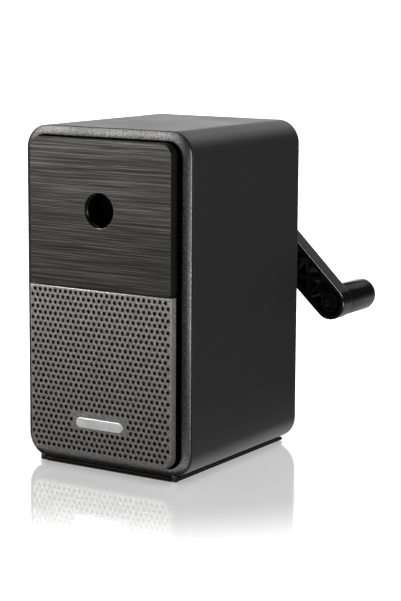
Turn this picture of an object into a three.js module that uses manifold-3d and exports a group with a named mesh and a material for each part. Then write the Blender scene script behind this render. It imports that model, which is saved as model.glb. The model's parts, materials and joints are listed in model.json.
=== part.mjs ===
// Crank pencil sharpener: a tall rounded casing with a pull-out pencil carriage above a shavings drawer,
// a helical cutter that a rear crank carries round inside a fixed ring gear, and a free-turning knob.
// Millimetres, +Z up, the front faces -Y, X is to the right of someone facing the front.
// The origin is the middle of the underside, half way along the casing's depth.
import * as THREE from "three";
import { mergeVertices } from "three/addons/utils/BufferGeometryUtils.js";
import Module from "manifold-3d";

const wasm = await Module();
wasm.setup();

// ---- Driving dimensions ----

const GAP = 0.3; // between neighbours that touch on the real object

const casing = { width: 65, depth: 69.3, top: 113.7, bottom: 1.3, radius: 8, wall: 2 };
const frontY = -casing.depth / 2;
const rearY = casing.depth / 2;

const bezel = { depth: 1.5, rim: 3.2, innerRadius: 5, legIn: 25.7, legOut: 27.4, legBottom: 0.2 };
const panel = { proud: 4, halfWidth: 28.1, bottom: 5, split: 61.4, splitGap: 0.5, top: 110.3, radius: 4 };
const panelY = frontY - panel.proud;

const axisZ = 87.3; // height of the pencil, crank and ring gear axis

const base = {
  halfWidth: 27.4, halfDepth: 34.25, bottom: 0.5, top: 1, windowX: 22.3, windowY: 27.3,
  pegX: 24.9, pegY: 20,
};
const pad = { halfWidth: 25.1, sheet: 0.25 };
const sleeve = { setBack: 3.9, wall: 1.3, floor: 1, deckBottom: 55.2, deckTop: 57.2 };
const bulkhead = { y: -12, thickness: 3, top: 104.5, pillarR: 3 };
const bulkheadRear = bulkhead.y + bulkhead.thickness;
const chute = { halfWidth: 18, front: -7, rear: 27 };
const rear = { coverY: 30.9, cover: 2, screwX: 25, screwHighZ: 103, screwLowZ: 60.4, screwR: 1.1 };

const plate = { thickness: 1, holeR: 5.8 };
const carriage = { rear: -24, bore: 7.2, pocketX: 8.4, pocketZ: 13.2, pocketFront: -33 };
const rod = { x: 25.3, z: 78, r: 1.5, front: -33, end: 28.5, washerR: 3.1, washer: 1 };
const spring = { r: 2.6, wire: 0.35, turns: 7 };
const jaw = { halfWidth: 8, gap: 5, outer: 12.4 };
const jawCover = { halfWidth: 13.6, halfHeight: 15, thickness: 1.5, screwX: 11, screwTip: -29 };

const drawer = { front: 3, halfWidth: 27.4, bottom: 4.9, top: 50, rear: 24, wall: 1.5 };
const badge = { width: 18.8, height: 3.6, z: 16.4, thickness: 0.8, recess: 0.8 };

const tilt = THREE.MathUtils.degToRad(9); // slope of the cutter, so that it cuts a cone
const gear = {
  module: 1, ringTeeth: 33, pinionTeeth: 12, ringOuter: 20.5, midY: -5.7, pinionWidth: 3,
  lugAt: 22.8, lugR: 2.5,
};
const gearOffset = (gear.module * (gear.ringTeeth - gear.pinionTeeth)) / 2;
const cutter = { r: 5.4, boreR: 1.8, front: 1, rear: 24, teeth: 10, twist: 2.4 };
const carrier = {
  r: 14.5, frontDisc: -2.3, disc: 2, rearDisc: 25.4, rearDepth: 3, hubR: 5.8, hubEnd: 32.5,
};

const shaft = { r: 3, front: 28.7, end: 49 };
const bearing = { flangeR: 13, flange: 2, bossR: 6.2, end: 40.2, bushR: 4.4, screwX: 9.5 };
const arm = {
  front: 43.7, thickness: 6.4, hubR: 6.7, endR: 6.05, throw: 55.2, angle: -43.3, wall: 1.5,
  rib: 1.1, cells: 3, cellStart: 19.2, cellLength: 9.6,
};
const armRear = arm.front + arm.thickness;
const armAngle = THREE.MathUtils.degToRad(arm.angle);
const knobX = arm.throw * Math.cos(armAngle);
const knobZ = axisZ + arm.throw * Math.sin(armAngle);
const knob = { r: 5.7, end: 70.1, boreR: 1.9, catchR: 2.6, catchFront: 62, boreEnd: 66, round: 2 };
const pin = { r: 1.6, headR: 2.3, headFront: 44.9, head: 1.2, tipR: 2.2, bossR: 3.3 };

// ---- Materials ----

function paint(color, roughness, metalness = 0) {
  return new THREE.MeshStandardMaterial({ color, roughness, metalness });
}

const shellBlack = paint(0x1d1d1f, 0.62);
const innerBlack = paint(0x161618, 0.7);
const glossBlack = paint(0x0b0b0c, 0.18);
const gunmetal = paint(0x5c5a5e, 0.42, 0.75);
const brushedDark = paint(0x3f3f42, 0.38, 0.9);
const satinSilver = paint(0xb9b9bb, 0.3, 0.95);
const steel = paint(0x9d9fa2, 0.32, 1);
const brass = paint(0xb08d4a, 0.35, 1);
const rubber = paint(0x2a2421, 0.9);
const greyPlastic = paint(0x6c6e70, 0.55);

// ---- Geometry helpers ----

// A closed solid that manifold-3d can cut and join.
function solid(geometry) {
  const bare = geometry.clone();
  bare.deleteAttribute("normal");
  bare.deleteAttribute("uv");
  const merged = mergeVertices(bare, 1e-4);
  return new wasm.Manifold(new wasm.Mesh({
    numProp: 3,
    vertProperties: merged.attributes.position.array,
    triVerts: new Uint32Array(merged.index.array),
  }));
}

function join(...geometries) {
  return geometries.map(solid).reduce((whole, next) => whole.add(next));
}

function cut(whole, ...geometries) {
  return geometries.map(solid).reduce((left, next) => left.subtract(next), whole);
}

function toGeometry(manifold) {
  const mesh = manifold.getMesh();
  const geometry = new THREE.BufferGeometry();
  geometry.setAttribute("position", new THREE.BufferAttribute(mesh.vertProperties, mesh.numProp));
  geometry.setIndex(new THREE.BufferAttribute(mesh.triVerts, 1));
  geometry.computeVertexNormals();
  return geometry;
}

// A rectangle in the XZ plane whose bottom and top corners have their own radii.
function panelShape(halfWidth, bottom, top, bottomR, topR) {
  const shape = new THREE.Shape();
  shape.moveTo(-halfWidth + bottomR, bottom);
  shape.lineTo(halfWidth - bottomR, bottom);
  if (bottomR) shape.absarc(halfWidth - bottomR, bottom + bottomR, bottomR, -Math.PI / 2, 0);
  shape.lineTo(halfWidth, top - topR);
  if (topR) shape.absarc(halfWidth - topR, top - topR, topR, 0, Math.PI / 2);
  shape.lineTo(-halfWidth + topR, top);
  if (topR) shape.absarc(-halfWidth + topR, top - topR, topR, Math.PI / 2, Math.PI);
  shape.lineTo(-halfWidth, bottom + bottomR);
  if (bottomR) shape.absarc(-halfWidth + bottomR, bottom + bottomR, bottomR, Math.PI, Math.PI * 1.5);
  return shape;
}

// A shape drawn in XZ, pushed along Y from one depth to another.
function alongY(shape, from, to, curveSegments = 3) {
  const options = { depth: to - from, bevelEnabled: false, curveSegments };
  return new THREE.ExtrudeGeometry(shape, options).rotateX(Math.PI / 2).translate(0, to, 0);
}

function cylinderY(r, from, to, x = 0, z = axisZ, sides = 24) {
  return new THREE.CylinderGeometry(r, r, to - from, sides).translate(x, (from + to) / 2, z);
}

function cylinderZ(r, from, to, x, y, sides = 12) {
  return new THREE.CylinderGeometry(r, r, to - from, sides)
    .rotateX(Math.PI / 2)
    .translate(x, y, (from + to) / 2);
}

function block(x0, x1, y0, y1, z0, z1) {
  return new THREE.BoxGeometry(x1 - x0, y1 - y0, z1 - z0)
    .translate((x0 + x1) / 2, (y0 + y1) / 2, (z0 + z1) / 2);
}

function ringY(outer, inner, from, to, x = 0, z = axisZ, sides = 24) {
  const disc = solid(cylinderY(outer, from, to, x, z, sides));
  return cut(disc, cylinderY(inner, from - 1, to + 1, x, z, sides));
}

// The casing's outline, shrunk by an inset all round.
function casingShape(inset) {
  const r = casing.radius - inset;
  return panelShape(casing.width / 2 - inset, casing.bottom + inset, casing.top - inset, r, r);
}

// A pan-head screw along Y with its head to the rear.
function screwY(headR, headY, head, shankR, tipY, x, z) {
  return join(
    cylinderY(headR, headY, headY + head, x, z, 12),
    cylinderY(shankR, tipY, headY + 0.1, x, z, 10),
  );
}

const sides = [["left", -1], ["right", 1]];

const group = new THREE.Group();

function add(name, manifold, material) {
  const mesh = new THREE.Mesh(toGeometry(manifold), material);
  mesh.name = name;
  group.add(mesh);
  return mesh;
}

// ---- Housing ----

// Where the base plate's pegs go up into the casing.
function pegPlaces() {
  return [-1, 1].flatMap((sx) => [-1, 1].map((sy) => [sx * base.pegX, sy * base.pegY]));
}

function makeShell() {
  const from = frontY + bezel.depth + GAP;
  const inside = alongY(casingShape(casing.wall), from - 1, rearY + 1);
  const tube = cut(solid(alongY(casingShape(0), from, rearY)), inside);
  return cut(tube, ...pegPlaces().map(([x, y]) => cylinderZ(1.8, 0, 6, x, y)));
}

function makeBezel() {
  const to = frontY + bezel.depth;
  const opening = panelShape(
    casing.width / 2 - bezel.rim, casing.bottom + bezel.rim, casing.top - bezel.rim,
    bezel.innerRadius, bezel.innerRadius,
  );
  const ring = cut(solid(alongY(casingShape(0), frontY, to)), alongY(opening, frontY - 1, to + 1));
  const legTop = casing.bottom + 1;
  return ring
    .add(solid(block(bezel.legIn, bezel.legOut, frontY, to, bezel.legBottom, legTop)))
    .add(solid(block(-bezel.legOut, -bezel.legIn, frontY, to, bezel.legBottom, legTop)));
}

// A frame under the casing, with a tongue that reaches forward between the bezel's legs.
function makeBasePlate() {
  const from = frontY + bezel.depth + GAP;
  const tongueX = bezel.legIn - GAP;
  const tongue = block(-tongueX, tongueX, -base.halfDepth, from + 1, base.bottom, base.top);
  const sheet = block(-base.halfWidth, base.halfWidth, from, base.halfDepth, base.bottom, base.top);
  const window = block(-base.windowX, base.windowX, -base.windowY, base.windowY, -1, 2);
  const frame = cut(solid(sheet).add(solid(tongue)), window);
  const pegs = pegPlaces().map(([x, y]) => solid(cylinderZ(1.5, base.bottom + 0.1, 3.2, x, y)));
  return pegs.reduce((whole, peg) => whole.add(peg), frame);
}

// A thin non-slip sheet with a raised middle that fills the base plate's window.
function makeBasePad() {
  const x = base.windowX - GAP;
  const y = base.windowY - GAP;
  const sheet = block(-pad.halfWidth, pad.halfWidth, -base.halfDepth, base.halfDepth, 0, pad.sheet);
  return solid(block(-x, x, -y, y, 0, base.top - 0.1)).add(solid(sheet));
}

const sleeveFront = frontY + sleeve.setBack;
const sleeveRear = rear.coverY - GAP;
const sleeveHalfWidth = casing.width / 2 - casing.wall - GAP;

// The outline of the inner mouldings, which fill the casing's inside between two depths.
function innerFill(to) {
  return solid(alongY(casingShape(casing.wall + GAP), sleeveFront, to));
}

// The sleeve round the drawer, with the deck that carries the mechanism and its shavings chute.
function makeDrawerSleeve() {
  const inX = sleeveHalfWidth - sleeve.wall;
  const floorTop = casing.bottom + casing.wall + GAP + sleeve.floor;
  const hollow = panelShape(inX, floorTop, sleeve.deckBottom, 4.6, 0);
  const above = block(-40, 40, sleeveFront - 1, sleeveRear + 1, sleeve.deckTop, casing.top);
  let body = cut(innerFill(sleeveRear), alongY(hollow, sleeveFront - 1, sleeveRear + 1), above);
  for (const x of [-rear.screwX, rear.screwX]) {
    const r = bulkhead.pillarR;
    body = body.add(solid(cylinderY(r, 20, sleeveRear, x, rear.screwLowZ, 12)));
    body = body.add(solid(block(x - r, x + r, 20, sleeveRear, sleeve.deckTop - 0.5, rear.screwLowZ)));
    body = cut(body, cylinderY(1.4, 21, sleeveRear + 1, x, rear.screwLowZ, 10));
  }
  return cut(body, block(-chute.halfWidth, chute.halfWidth, chute.front, chute.rear, 54, 58));
}

// The wall that carries the ring gear and the pencil guide, with side cheeks round the carriage.
function makeGearBulkhead() {
  const inX = sleeveHalfWidth - sleeve.wall;
  const front = sleeveFront - 1;
  const below = block(-40, 40, front, sleeveRear, 0, sleeve.deckTop + GAP);
  const between = block(-inX, inX, front, bulkhead.y, sleeve.deckTop, casing.top);
  const crown = block(-40, 40, front, bulkhead.y, bulkhead.top, casing.top);
  let body = cut(innerFill(bulkheadRear), below, between, crown);
  for (const x of [-rear.screwX, rear.screwX]) {
    const pillar = cylinderY(bulkhead.pillarR, bulkheadRear - 0.5, sleeveRear, x, rear.screwHighZ, 12);
    body = body.add(solid(pillar));
    body = cut(body, cylinderY(1.4, 21, sleeveRear + 1, x, rear.screwHighZ, 10));
  }
  body = cut(body, cylinderY(6.8, bulkhead.y - 1, bulkheadRear + 1));
  for (const x of [-rod.x, rod.x]) body = cut(body, cylinderY(rod.r + 0.4, -13, -8, x, rod.z, 14));
  for (const [x, z] of lugPlaces()) body = cut(body, cylinderY(1.2, -13, -8, x, z, 10));
  return body;
}

function makeRearCover() {
  const to = rear.coverY + rear.cover;
  let cover = solid(alongY(casingShape(casing.wall + GAP), rear.coverY, to));
  cover = cut(cover, cylinderY(bearing.bossR + GAP, rear.coverY - 1, to + 1));
  for (const x of [-rear.screwX, rear.screwX]) {
    for (const z of [rear.screwHighZ, rear.screwLowZ]) {
      cover = cut(cover, cylinderY(1.4, rear.coverY - 1, to + 1, x, z, 10));
    }
  }
  for (const x of [-bearing.screwX, bearing.screwX]) {
    cover = cut(cover, cylinderY(1.3, rear.coverY - 1, to + 1, x, axisZ, 10));
  }
  return cover;
}

function makeRearBearing() {
  const from = rear.coverY + rear.cover + GAP;
  let body = join(
    cylinderY(bearing.flangeR, from, from + bearing.flange, 0, axisZ, 32),
    cylinderY(bearing.bossR, from + 0.1, bearing.end),
  );
  body = cut(body, cylinderY(bearing.bushR + GAP, 30, 42));
  for (const x of [-bearing.screwX, bearing.screwX]) body = cut(body, cylinderY(1.3, 30, 42, x, axisZ, 10));
  return body;
}

// ---- Gears and cutter ----

// A gear outline about (0, cz): one tooth points along +Z when phase is 0.
function gearShape(teeth, radii, widths, cz, phase) {
  const shape = new THREE.Shape();
  const pitch = (2 * Math.PI) / teeth;
  for (let i = 0; i < teeth; i += 1) {
    const middle = Math.PI / 2 + (i + phase) * pitch;
    const points = [];
    radii.forEach((r, k) => points.push([r, -widths[k] / r / 2]));
    [...radii].reverse().forEach((r, k) => points.push([r, widths[widths.length - 1 - k] / r / 2]));
    for (const [r, turn] of points) {
      const x = r * Math.cos(middle + turn);
      const z = cz + r * Math.sin(middle + turn);
      if (shape.curves.length || shape.currentPoint.lengthSq()) shape.lineTo(x, z);
      else shape.moveTo(x, z);
    }
  }
  shape.closePath();
  return shape;
}

function lugPlaces() {
  return [45, 165, 285].map((degrees) => {
    const a = THREE.MathUtils.degToRad(degrees);
    return [gear.lugAt * Math.cos(a), axisZ + gear.lugAt * Math.sin(a)];
  });
}

function makeRingGear() {
  const from = bulkheadRear + GAP;
  const to = -2.7;
  const pitchR = (gear.module * gear.ringTeeth) / 2;
  // The hole is an outward gear whose teeth are the ring's gaps, with a gap at the top.
  const hole = gearShape(gear.ringTeeth, [pitchR - 0.7, pitchR, pitchR + 1], [2.35, 2, 1.3], axisZ, 0);
  let body = solid(cylinderY(gear.ringOuter, from, to, 0, axisZ, 48));
  for (const [x, z] of lugPlaces()) {
    body = body.add(solid(cylinderY(gear.lugR, from, from + 2.5, x, z, 12)));
  }
  body = cut(body, alongY(hole, from - 1, to + 1));
  for (const [x, z] of lugPlaces()) body = cut(body, cylinderY(1.2, from - 1, to, x, z, 10));
  return body;
}

// Tilts a geometry made round the Y axis onto the cutter's axis,
// which meets the gear's mid-plane above the bore.
function ontoCutterAxis(geometry) {
  return geometry.rotateX(-tilt).translate(0, gear.midY, axisZ + gearOffset);
}

// Distance along the tilted axis, from the gear's mid-plane, of a given depth in the casing.
function alongCutter(y) {
  return (y - gear.midY) / Math.cos(tilt);
}

function cutterCylinder(r, from, to, segments = 20) {
  return ontoCutterAxis(cylinderY(r, alongCutter(from), alongCutter(to), 0, 0, segments));
}

function makePinion() {
  const pitchR = (gear.module * gear.pinionTeeth) / 2;
  const outline = gearShape(gear.pinionTeeth, [pitchR - 1.15, pitchR, pitchR + 0.7], [1.6, 1.1, 0.6], 0, 0);
  const half = gear.pinionWidth / 2;
  const wheel = solid(ontoCutterAxis(alongY(outline, -half, half)));
  return cut(wheel, cutterCylinder(cutter.boreR, -12, 0, 16));
}

function makeCutter() {
  const from = alongCutter(cutter.front + 0.9);
  const to = alongCutter(cutter.rear);
  const length = to - from;
  const outline = gearShape(cutter.teeth, [cutter.r - 1.1, cutter.r], [1.5, 0.5], 0, 0);
  const geometry = new THREE.ExtrudeGeometry(outline, { depth: length, bevelEnabled: false, steps: 10 });
  const place = geometry.getAttribute("position");
  for (let i = 0; i < place.count; i += 1) {
    const turn = (place.getZ(i) / length) * cutter.twist;
    const x = place.getX(i);
    const y = place.getY(i);
    place.setXY(i, x * Math.cos(turn) - y * Math.sin(turn), x * Math.sin(turn) + y * Math.cos(turn));
  }
  const body = solid(ontoCutterAxis(geometry.rotateX(Math.PI / 2).translate(0, to, 0)));
  return cut(body, cutterCylinder(cutter.boreR, -12, 32, 16));
}

function makeCarrier() {
  const rearEnd = carrier.rearDisc + carrier.rearDepth;
  const beam = new THREE.Shape();
  const start = THREE.MathUtils.degToRad(205);
  const end = THREE.MathUtils.degToRad(335);
  beam.absarc(0, axisZ, 13.5, start, end, false);
  beam.absarc(0, axisZ, 10.5, end, start, true);
  let body = join(
    cylinderY(carrier.r, carrier.frontDisc, carrier.frontDisc + carrier.disc, 0, axisZ, 28),
    cylinderY(carrier.r, carrier.rearDisc, rearEnd, 0, axisZ, 28),
    alongY(beam, carrier.frontDisc + 0.5, carrier.rearDisc + 0.5, 4),
    cylinderY(carrier.hubR, rearEnd - 0.5, carrier.hubEnd, 0, axisZ, 20),
  );
  body = cut(body, cylinderY(4.6, carrier.frontDisc - 1, carrier.frontDisc + carrier.disc + 1));
  body = cut(body, cylinderY(shaft.r + GAP, shaft.front - GAP, carrier.hubEnd + 1, 0, axisZ, 16));
  return cut(body, cutterCylinder(cutter.boreR, -12, 27.8, 14));
}

// ---- Crank ----

// Outline of the arm in XZ: two round ends joined by straight edges, shrunk by an inset.
function armShape(inset) {
  const shape = new THREE.Shape();
  const hubR = arm.hubR - inset;
  const endR = arm.endR - inset;
  const lean = Math.acos((arm.hubR - arm.endR) / arm.throw);
  shape.absarc(0, 0, hubR, lean, 2 * Math.PI - lean, false);
  shape.absarc(arm.throw, 0, endR, -lean, lean, false);
  return shape;
}

function turnedArm(geometry) {
  return geometry.rotateY(-armAngle).translate(0, 0, axisZ);
}

function armCylinder(r, from, to, along, sidesCount = 20) {
  return turnedArm(cylinderY(r, from, to, along, 0, sidesCount));
}

// The lattice in the hollow side: cross ribs with diagonals between them, and ribs along to both bosses.
function armRibs(from, to) {
  const half = arm.rib / 2;
  const last = arm.cellStart + arm.cells * arm.cellLength;
  const lean = Math.atan2(2 * (arm.endR - arm.wall), arm.cellLength);
  const ribs = [
    block(0, arm.cellStart, from, to, -half, half),
    block(last, arm.throw, from, to, -half, half),
  ];
  for (let i = 0; i <= arm.cells; i += 1) {
    const along = arm.cellStart + i * arm.cellLength;
    ribs.push(block(along - half, along + half, from, to, -9, 9));
    if (i === arm.cells) break;
    for (const side of [-1, 1]) {
      const diagonal = block(-9, 9, from, to, -half, half).rotateY(side * lean);
      ribs.push(diagonal.translate(along + arm.cellLength / 2, 0, 0));
    }
  }
  return ribs.map(turnedArm);
}

function makeArm() {
  const floor = armRear - arm.wall;
  const open = arm.front - 1;
  let hollow = solid(turnedArm(alongY(armShape(arm.wall), open, floor)));
  hollow = cut(hollow, armCylinder(7.4, open - 1, floor + 1, 0));
  hollow = cut(hollow, armCylinder(pin.bossR, open - 1, floor + 1, arm.throw, 16));
  hollow = cut(hollow, ...armRibs(open - 1, floor + 1));
  let body = solid(turnedArm(alongY(armShape(0), arm.front, armRear)));
  body = body.subtract(hollow).add(solid(armCylinder(5.6, 41.4, arm.front + 1, 0)));
  body = cut(body, armCylinder(shaft.r + GAP, 41, shaft.end + GAP, 0, 16));
  body = cut(body, armCylinder(1.6, 40, armRear + 1, 0, 12));
  body = cut(body, armCylinder(pin.headR + GAP, open, pin.headFront + pin.head + GAP, arm.throw, 16));
  return cut(body, armCylinder(pin.r + GAP, open, armRear + 1, arm.throw, 14));
}

function makeKnob() {
  const from = armRear + GAP;
  const steps = 3;
  const profile = [new THREE.Vector2(knob.boreR, from), new THREE.Vector2(knob.r, from)];
  for (let i = 0; i <= steps; i += 1) {
    const a = (i / steps) * (Math.PI / 2);
    const r = knob.r - knob.round + knob.round * Math.cos(a);
    profile.push(new THREE.Vector2(r, knob.end - knob.round + knob.round * Math.sin(a)));
  }
  profile.push(new THREE.Vector2(0, knob.end), new THREE.Vector2(0, knob.boreEnd));
  for (const [r, y] of [
    [knob.catchR, knob.boreEnd], [knob.catchR, knob.catchFront],
    [knob.boreR, knob.catchFront], [knob.boreR, from],
  ]) {
    profile.push(new THREE.Vector2(r, y));
  }
  return solid(new THREE.LatheGeometry(profile, 24).translate(knobX, 0, knobZ));
}

// A shoulder pin: its head sits in the arm's boss, and the knob snaps over its wider tip.
function makeKnobPin() {
  const tipFront = knob.catchFront + 2 * GAP;
  return join(
    cylinderY(pin.headR, pin.headFront, pin.headFront + pin.head, knobX, knobZ, 16),
    cylinderY(pin.r, pin.headFront + 0.1, knob.boreEnd - 1, knobX, knobZ, 14),
    cylinderY(pin.tipR, tipFront, knob.boreEnd - 2 * GAP, knobX, knobZ, 14),
  );
}

// ---- Carriage ----

function makeFacePlate() {
  const outline = panelShape(panel.halfWidth, panel.split + panel.splitGap / 2, panel.top, 0, panel.radius);
  const slab = solid(alongY(outline, panelY, panelY + plate.thickness));
  return cut(slab, cylinderY(plate.holeR, panelY - 1, panelY + 3, 0, axisZ, 32));
}

function makeCarriageBlock() {
  const from = panelY + plate.thickness + GAP;
  const bottom = panel.split + panel.splitGap / 2 + 0.1;
  const outline = panelShape(panel.halfWidth - 0.1, bottom, panel.top - 0.1, 0, panel.radius);
  const { pocketX, pocketZ, pocketFront, bore } = carriage;
  let body = solid(alongY(outline, from, carriage.rear));
  body = cut(body, cylinderY(bore, from - 1, pocketFront + 1, 0, axisZ, 24));
  body = cut(body, block(-pocketX, pocketX, pocketFront, 0, axisZ - pocketZ, axisZ + pocketZ));
  for (const [, s] of sides) {
    body = cut(body, cylinderY(rod.r + GAP, rod.front - GAP, 0, s * rod.x, rod.z, 14));
    body = cut(body, cylinderY(1, jawCover.screwTip - GAP, 0, s * jawCover.screwX, axisZ, 10));
  }
  return body;
}

function makeJawCover() {
  const { halfWidth, halfHeight, thickness, screwX } = jawCover;
  const from = carriage.rear + GAP;
  const slab = block(-halfWidth, halfWidth, from, from + thickness, axisZ - halfHeight, axisZ + halfHeight);
  let cover = cut(solid(slab), cylinderY(5.6, -30, -20, 0, axisZ, 24));
  for (const [, s] of sides) cover = cut(cover, cylinderY(1, -30, -20, s * screwX, axisZ, 10));
  return cover;
}

function makeEntryBushing() {
  const from = panelY + plate.thickness + GAP;
  return ringY(carriage.bore - GAP, 5.3, from, carriage.pocketFront - GAP, 0, axisZ, 32);
}

function makeJaw(sign) {
  const [low, high] = [axisZ + sign * (jaw.gap - 1), axisZ + sign * jaw.outer].sort((a, b) => a - b);
  const from = carriage.pocketFront + GAP;
  const body = block(-jaw.halfWidth, jaw.halfWidth, from, carriage.rear - 0.1, low, high);
  return cut(solid(body), cylinderY(jaw.gap, -40, -20, 0, axisZ, 24));
}

function makeRod(sign) {
  return solid(cylinderY(rod.r, rod.front, rod.end, sign * rod.x, rod.z, 14));
}

function makeRodWasher(sign) {
  return ringY(rod.washerR, rod.r + GAP, rod.end - 2, rod.end - 2 + rod.washer, sign * rod.x, rod.z, 16);
}

// A wire coil round the rod, from the bulkhead to the washer.
function makeSpring(sign) {
  const from = bulkheadRear + GAP + spring.wire;
  const to = rod.end - 2 - GAP - spring.wire;
  const points = [];
  const perTurn = 8;
  for (let i = 0; i <= spring.turns * perTurn; i += 1) {
    const a = (i / perTurn) * 2 * Math.PI;
    const y = from + ((to - from) * i) / (spring.turns * perTurn);
    points.push(new THREE.Vector3(spring.r * Math.cos(a), y, spring.r * Math.sin(a)));
  }
  const wire = new THREE.Shape();
  wire.moveTo(spring.wire, 0);
  for (const [x, y] of [[0, 1], [-1, 0], [0, -1]]) wire.lineTo(x * spring.wire, y * spring.wire);
  const path = new THREE.CatmullRomCurve3(points);
  const coil = new THREE.ExtrudeGeometry(wire, { steps: spring.turns * perTurn, extrudePath: path });
  return solid(coil.translate(sign * rod.x, 0, rod.z));
}

// ---- Drawer ----

function makeDrawerFront() {
  const top = panel.split - panel.splitGap / 2;
  const outline = panelShape(panel.halfWidth, panel.bottom, top, panel.radius, 0);
  const slab = solid(alongY(outline, panelY, panelY + drawer.front));
  return cut(slab, alongY(badgeShape(GAP), panelY - 1, panelY + badge.recess));
}

function badgeShape(grow) {
  const r = badge.height / 2 + grow;
  const x = badge.width / 2 - badge.height / 2;
  const shape = new THREE.Shape();
  shape.absarc(x, badge.z, r, -Math.PI / 2, Math.PI / 2, false);
  shape.absarc(-x, badge.z, r, Math.PI / 2, Math.PI * 1.5, false);
  return shape;
}

function makeBadge() {
  const to = panelY + badge.recess - GAP;
  return solid(alongY(badgeShape(0), to - badge.thickness, to, 4));
}

function makeDrawerBin() {
  const from = panelY + drawer.front + GAP;
  const { halfWidth, bottom, top, wall } = drawer;
  const outside = alongY(panelShape(halfWidth, bottom, top, 3.5, 0), from, drawer.rear);
  const inside = panelShape(halfWidth - wall, bottom + wall, top + 5, 2.5, 0);
  return cut(solid(outside), alongY(inside, from + wall, drawer.rear - wall));
}

// ---- Assembly ----

add("shell", makeShell(), shellBlack);
add("front_bezel", makeBezel(), gunmetal);
add("base_plate", makeBasePlate(), innerBlack);
add("base_pad", makeBasePad(), rubber);
add("drawer_sleeve", makeDrawerSleeve(), innerBlack);
add("gear_bulkhead", makeGearBulkhead(), innerBlack);
add("ring_gear", makeRingGear(), steel);
lugPlaces().forEach(([x, z], i) => {
  add(`ring_gear_screw_${i + 1}`, screwY(1.8, -5.9, 1, 0.9, -11, x, z), steel);
});
add("pencil_guide", ringY(6.5, 4.6, -14, bulkheadRear - 0.1), glossBlack);
add("rear_cover", makeRearCover(), shellBlack);
let screwNumber = 0;
for (const x of [-rear.screwX, rear.screwX]) {
  for (const z of [rear.screwLowZ, rear.screwHighZ]) {
    screwNumber += 1;
    const headY = rear.coverY + rear.cover + GAP;
    add(`rear_cover_screw_${screwNumber}`, screwY(2.5, headY, 1.3, rear.screwR, 23, x, z), steel);
  }
}
add("rear_bearing", makeRearBearing(), innerBlack);
for (const [name, s] of sides) {
  const headY = rear.coverY + rear.cover + bearing.flange + 2 * GAP;
  add(`bearing_screw_${name}`, screwY(2.2, headY, 1.2, 1, 31.2, s * bearing.screwX, axisZ), steel);
}
add("shaft_bush", ringY(bearing.bushR, shaft.r + GAP, 33.4, bearing.end - 0.2, 0, axisZ, 20), brass);

add("face_plate", makeFacePlate(), brushedDark);
add("carriage_block", makeCarriageBlock(), innerBlack);
add("entry_bushing", makeEntryBushing(), glossBlack);
add("jaw_cover", makeJawCover(), greyPlastic);
add("upper_jaw", makeJaw(1), innerBlack);
add("lower_jaw", makeJaw(-1), innerBlack);
for (const [name, s] of sides) {
  add(`guide_rod_${name}`, makeRod(s), steel);
  add(`rod_washer_${name}`, makeRodWasher(s), steel);
  add(`return_spring_${name}`, makeSpring(s), steel);
  const headY = carriage.rear + jawCover.thickness + 2 * GAP;
  const coverScrew = screwY(1.7, headY, 1, 0.7, jawCover.screwTip, s * jawCover.screwX, axisZ);
  add(`jaw_cover_screw_${name}`, coverScrew, steel);
}

add("drawer_front", makeDrawerFront(), gunmetal);
add("drawer_bin", makeDrawerBin(), innerBlack);
add("badge", makeBadge(), satinSilver);

add("crank_arm", makeArm(), innerBlack);
add("crank_shaft", cut(
  solid(cylinderY(shaft.r, shaft.front, shaft.end, 0, axisZ, 16)),
  cylinderY(1.5, 42, shaft.end + 1, 0, axisZ, 10),
), steel);
add("thrust_washer", ringY(5.4, shaft.r + GAP, bearing.end + GAP, bearing.end + 0.9, 0, axisZ, 20), steel);
add("crank_screw", screwY(3.4, armRear + GAP, 1.5, 1.2, 43, 0, axisZ), steel);
add("knob_pin", makeKnobPin(), innerBlack);
add("cutter_carrier", makeCarrier(), greyPlastic);
add("cutter_axle", solid(cutterCylinder(1.5, -8.4, 27.2, 14)), steel);
add("helical_cutter", makeCutter(), steel);
add("cutter_pinion", makePinion(), steel);
add("knob", makeKnob(), glossBlack);

export default group;
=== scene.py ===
"""Looks of the crank pencil sharpener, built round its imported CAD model.

Metres, +Z up, the front faces -Y.
"""
import json
import math

import bmesh
import bpy
from mathutils import Matrix, Vector
from mathutils.geometry import delaunay_2d_cdt


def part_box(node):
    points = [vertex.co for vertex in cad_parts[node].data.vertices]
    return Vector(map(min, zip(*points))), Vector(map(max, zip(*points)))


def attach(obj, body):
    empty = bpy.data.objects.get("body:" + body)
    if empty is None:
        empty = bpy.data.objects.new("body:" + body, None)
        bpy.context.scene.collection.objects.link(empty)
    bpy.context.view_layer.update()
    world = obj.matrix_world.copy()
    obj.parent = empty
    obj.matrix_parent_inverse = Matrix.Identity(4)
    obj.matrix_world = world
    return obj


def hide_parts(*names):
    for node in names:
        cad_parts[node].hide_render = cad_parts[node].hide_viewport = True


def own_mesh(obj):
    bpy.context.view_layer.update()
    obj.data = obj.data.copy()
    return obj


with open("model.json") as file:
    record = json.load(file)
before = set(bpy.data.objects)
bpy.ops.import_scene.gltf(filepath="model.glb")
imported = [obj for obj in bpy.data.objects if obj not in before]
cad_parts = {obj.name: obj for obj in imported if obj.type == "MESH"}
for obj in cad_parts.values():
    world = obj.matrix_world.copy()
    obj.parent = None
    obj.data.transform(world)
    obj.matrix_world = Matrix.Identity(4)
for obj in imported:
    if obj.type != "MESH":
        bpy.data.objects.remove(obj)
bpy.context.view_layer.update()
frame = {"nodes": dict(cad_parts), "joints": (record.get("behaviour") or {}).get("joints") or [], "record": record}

MM = 0.001
GAP = 0.3 * MM
joints = {joint["name"]: joint for joint in frame["joints"]}
slot_of = {part["node"]: part["material_slot"] for part in frame["record"]["subparts"]}


def box(name):
    """A node's lowest corner, highest corner and middle."""
    lo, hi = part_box(name)
    return lo, hi, (lo + hi) / 2


# ---- Places and sizes ----

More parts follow.
